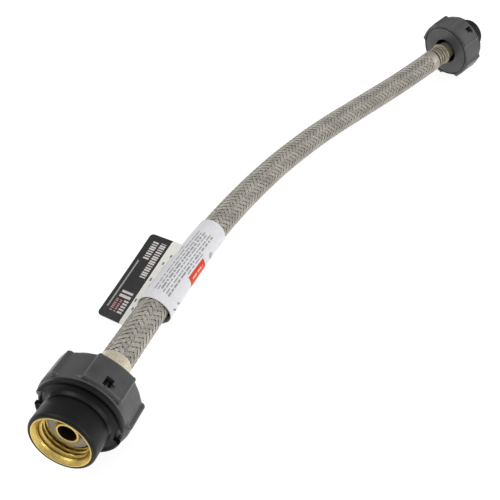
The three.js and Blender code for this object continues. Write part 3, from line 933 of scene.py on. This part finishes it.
def inner_nut(end):
    """Ratchet skirt, web, notched flange and collar in one moulding."""
    e = end
    cap_back, web_r, collar, guard, rim = e["cap_back"], e["web_r"], e["collar_r"], e["guard_r"], e["rim"]
    back = cap_back + CAP["length"] + GAP
    face = back + GUARD["thick"]
    inside = e["insert_r"] + 0.06
    seat = e["insert_back"] - 0.06
    outline = [
        (web_r, e["web"][0], 0.2), (SKIRT["inner"], e["web"][0], 0.2),
        (SKIRT["inner"], cap_back + SKIRT["start"], 0.2), (SKIRT["r"], cap_back + SKIRT["start"], 0.3),
        (SKIRT["r"], cap_back + SKIRT["end"], 0.2), (SKIRT["neck_r"], cap_back + SKIRT["end"], 0.1),
        (SKIRT["neck_r"], back, 0.1), (guard, back, 0.25), (guard, face - 0.1, 0.35),
        (guard - 0.8, face + 0.1, 0.3), (guard - 1.5, face - 0.7, 0.3),
        (collar + 1.8, face - 0.9, 0.6), (collar + 0.2, face + 0.1, 0.4),
        (collar - 0.5, e["collar_base"] - 0.2, 0.3), (collar - 0.1, e["collar_base"] + 0.5, 0.3),
        (collar, e["collar_base"] + 1.2, 0.3), (collar, rim - 0.9, 0.5), (collar - 0.6, rim, 0.5),
        (inside, rim, 0.12), (inside, seat, 0), (e["chamber_r"], seat, 0.1),
        (e["chamber_r"], e["web"][1], 0.2), (web_r, e["web"][1], 0.2),
    ]
    piece = put(end, revolve("threaded_nut", outline, sides=144))
    cutters = []
    for i in range(GUARD["pockets"]):
        angle = e["turn"] * GUARD["pocket_angle"] + 360 / GUARD["pockets"] * i
        pocket = box_outline(GUARD["pocket_half"], back - 0.1, face + 1)
        cutters.append(prism_at(end, f"pocket{i}", pocket, angle, guard - GUARD["pocket_depth"], guard + 2))
    cut(piece, cutters)
    wear(piece, moulded(f"{e['prefix']}_nut_plastic", NUT_BLACK, 0.4, 0.015, 700, 0.2), "nut_plastic")
    return piece


def cap_radius(offset):
    """The cap's outer radius at an angle from the middle of the nearest pad, from -45 to 45 degrees."""
    a, half, step, r, panel_r = abs(offset), PAD["half"], PAD["step"], PAD["r"], PAD["panel_r"]
    if a <= half:
        radius = PAD["mid_r"] + (r - PAD["mid_r"]) * (a / half) ** 2
        if a > half - PAD["edge"]:
            radius += PAD["edge_rise"] * math.sin(math.pi * (a - half + PAD["edge"]) / PAD["edge"])
        return radius
    if a <= half + step:
        t = (a - half) / step
        return r + (panel_r - r) * t * t * (3 - 2 * t)
    t = (a - half - step) / (QUARTER / 2 - half - step)
    return panel_r + (PAD["panel_mid_r"] - panel_r) * t * (2 - t)


def cap_rings(shape, back, front):
    """The cap's closed section as rings: cavity, rear wall with its groove, grip, and front lip."""
    cavity, hole, floor, lip = CAP["cavity_r"], CAP["hole_r"], back + CAP["back"], CAP["lip_r"]
    inside = [(cavity, front, 0), (cavity, floor, 0.4), (hole, floor, 0.3), (hole, back, 0.3),
              (16.9, back, 0.15), (17.1, back + 0.8, 0.05), (17.7, back + 0.8, 0.05), (17.9, back, 0.15)]
    rings = rounded(inside, closed=False)
    for t in np.linspace(0.15, 1, 6) * math.pi / 2:
        radii = np.maximum(shape - (1 - math.sin(t)), CAP["shoulder_r"])
        rings.append((radii, back + 1.1 * (1 - math.cos(t))))
    for y in np.linspace(back + 2.2, front - 2.8, 8):
        rings.append((shape, y))
    for t in np.linspace(0, 1, 7) * math.pi / 2:
        rings.append((np.maximum(shape - 1.9 * (1 - math.cos(t)), lip), front - 2.2 + 1.3 * math.sin(t)))
    rings += rounded([(lip, front - 0.85, 0), (lip, front, 0.3), (cavity, front, 0)], closed=False)[1:-1]
    return [(np.broadcast_to(radii, shape.shape), y) for radii, y in rings]


def window_cutters(end, back, front):
    """For each pad: a window, the ramp beside it, and the channel from it to the front."""
    t = end["turn"]
    middle, half_height = back + WINDOW["middle"], WINDOW["half_height"]
    window = box_outline(WINDOW["half_width"], middle - half_height, middle + half_height)
    low, shallow, top = WINDOW["ramp_r"], 20.6, middle + half_height - 0.1
    ramp = [(1.6 * t, middle - 0.4, low), (4.6 * t, middle + 0.4, shallow), (4.6 * t, middle + 1.0, shallow),
            (1.6 * t, middle + 1.9, low)]
    channel = [(-0.9 * t, top), (0.5 * t, top), (0.3 * t, front - 1.4), (-0.5 * t, front - 1.4)]
    cutters = []
    for i in range(4):
        angle = t * WINDOW["angle"] + QUARTER * i
        cutters.append(prism_at(end, f"window{i}", window, angle, WINDOW["floor_r"], OUTSIDE_R))
        cutters.append(prism_at(end, f"ramp{i}", ramp, angle, low, OUTSIDE_R))
        cutters.append(prism_at(end, f"channel{i}", channel, angle, WINDOW["channel_r"], OUTSIDE_R))
    return cutters


def drive_cap(end):
    back, front = end["cap_back"], end["cap_back"] + CAP["length"]
    angles = circle(360)
    shape = np.array([cap_radius(offset) for offset in from_quarter(angles, end["turn"] * PAD["centre"])])
    piece = put(end, swept("grip_cap", cap_rings(shape, back, front), angles, 30))
    cut(piece, window_cutters(end, back, front))
    wear(piece, moulded(f"{end['prefix']}_cap_plastic", CAP_GREY, 0.36, 0.02, 800), "cap_plastic")
    return piece


def click_ring(end):
    """The click ring, with the four glossy pawls that show in the cap's windows."""
    low, length = end["cap_back"] + PAWL["start"], PAWL["length"]
    angles = circle(240)
    offsets = from_quarter(angles, end["turn"] * WINDOW["angle"])
    bump = np.clip(1 - (np.abs(offsets) / PAWL["half_angle"]) ** 2, 0, 1)
    rings = []
    for u in np.linspace(0, 1, 12):
        swell = math.sin(math.pi * u) ** 0.6 if 0 < u < 1 else 0.0
        rings.append((PAWL["r"] + PAWL["rise"] * bump * swell, low + length * u))
    for u in (1, 0):
        rings.append((np.full(len(angles), PAWL["inner"]), low + length * u))
    piece = put(end, swept("pawl_ring", rings, angles, 40))
    wear(piece, moulded(f"{end['prefix']}_pawl_plastic", PAWL_BLACK, 0.12, 0.01, 500), "click_plastic")
    return piece


def fitting(end):
    prefix = end["prefix"]
    made = [
        (ferrule(end), "hose", "ferrule"),
        (stem(end), "hose", "stem"),
        (washer(end), "hose", "washer"),
        (thread_insert(end), f"{prefix}_nut", "thread_insert"),
        (inner_nut(end), f"{prefix}_nut", "inner_nut"),
        (drive_cap(end), f"{prefix}_cap", "drive_cap"),
        (click_ring(end), f"{prefix}_cap", "click_ring"),
    ]
    for piece, body, node in made:
        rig.replaces(piece, f"{prefix}_{node}")
        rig.ride(piece, body)


def keep_cad(node, material):
    """A CAD node whose shape is right keeps its mesh and gets its material."""
    shown = frame["nodes"][node]
    if not shown.data.materials:
        shown.data.materials.append(material)
    for item in shown.material_slots:
        item.link = "OBJECT"
        item.material = material


# ---- floor and light ----
def area_light(name, at, toward, size, power):
    data = bpy.data.lights.new(name, "AREA")
    data.shape = "DISK"
    data.size = size
    data.energy = power
    lamp = bpy.data.objects.new(name, data)
    lamp.location = Vector(at)
    lamp.rotation_euler = (Vector(toward) - Vector(at)).to_track_quat("-Z", "Y").to_euler()
    bpy.context.scene.collection.objects.link(lamp)


def make_floor():
    """Pale paper that glows enough to stay white under the object."""
    mesh = bpy.data.meshes.new("floor")
    work = bmesh.new()
    bmesh.ops.create_grid(work, x_segments=8, y_segments=8, size=FLOOR["half"])
    work.to_mesh(mesh)
    work.free()
    floor = bpy.data.objects.new("floor", mesh)
    floor.location.z = -FLOOR["below"]
    bpy.context.scene.collection.objects.link(floor)
    paint = Paint("floor_paper", Roughness=FLOOR["rough"], Emission_Strength=FLOOR["glow"])
    paint.shader.inputs["Emission Color"].default_value = (1, 1, 1, 1)
    paint.color(paint.ramp(paint.noise(3, 2), [(0.3, (0.24, 0.24, 0.24, 1)), (0.7, (0.26, 0.26, 0.26, 1))]))
    mesh.materials.append(paint.material)
    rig.stage(floor)


def studio():
    make_floor()
    world = bpy.data.worlds.new("studio")
    world.use_nodes = True
    background = world.node_tree.nodes["Background"]
    background.inputs["Color"].default_value = (1, 1, 1, 1)
    background.inputs["Strength"].default_value = WORLD_STRENGTH
    bpy.context.scene.world = world
    for lamp in LAMPS:
        area_light(*lamp)
    bpy.context.scene.view_settings.view_transform = "Standard"


def main():
    make_camera()
    woven, path, length = braid()
    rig.replaces(woven, "hose_braid")
    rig.ride(woven, "hose")
    label, tag = wrap_label(), hang_tag()
    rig.cord(woven, exit=path[0], length=length, diameter=2 * HOSE_R * MM, far_end="object", stiffness="stiff",
            lay="loose", path=path, with_pieces=[label, tag])
    fitting(NEAR)
    fitting(FAR)
    keep_cad("hose_liner", moulded("liner_rubber", LINER_RUBBER, 0.6))
    for prefix in ("near", "far"):
        keep_cad(f"{prefix}_slip_ring", moulded(f"{prefix}_slip_plastic", SLIP_WHITE, 0.4))
        keep_cad(f"{prefix}_retaining_ring", moulded(f"{prefix}_ring_plastic", RING_GREY, 0.4))
    studio()
    with open("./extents.json", "w") as out:
        json.dump({"cad": [list(c) for c in CAD_BOX], "visual": [list(c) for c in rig.bounds()]}, out)


main()
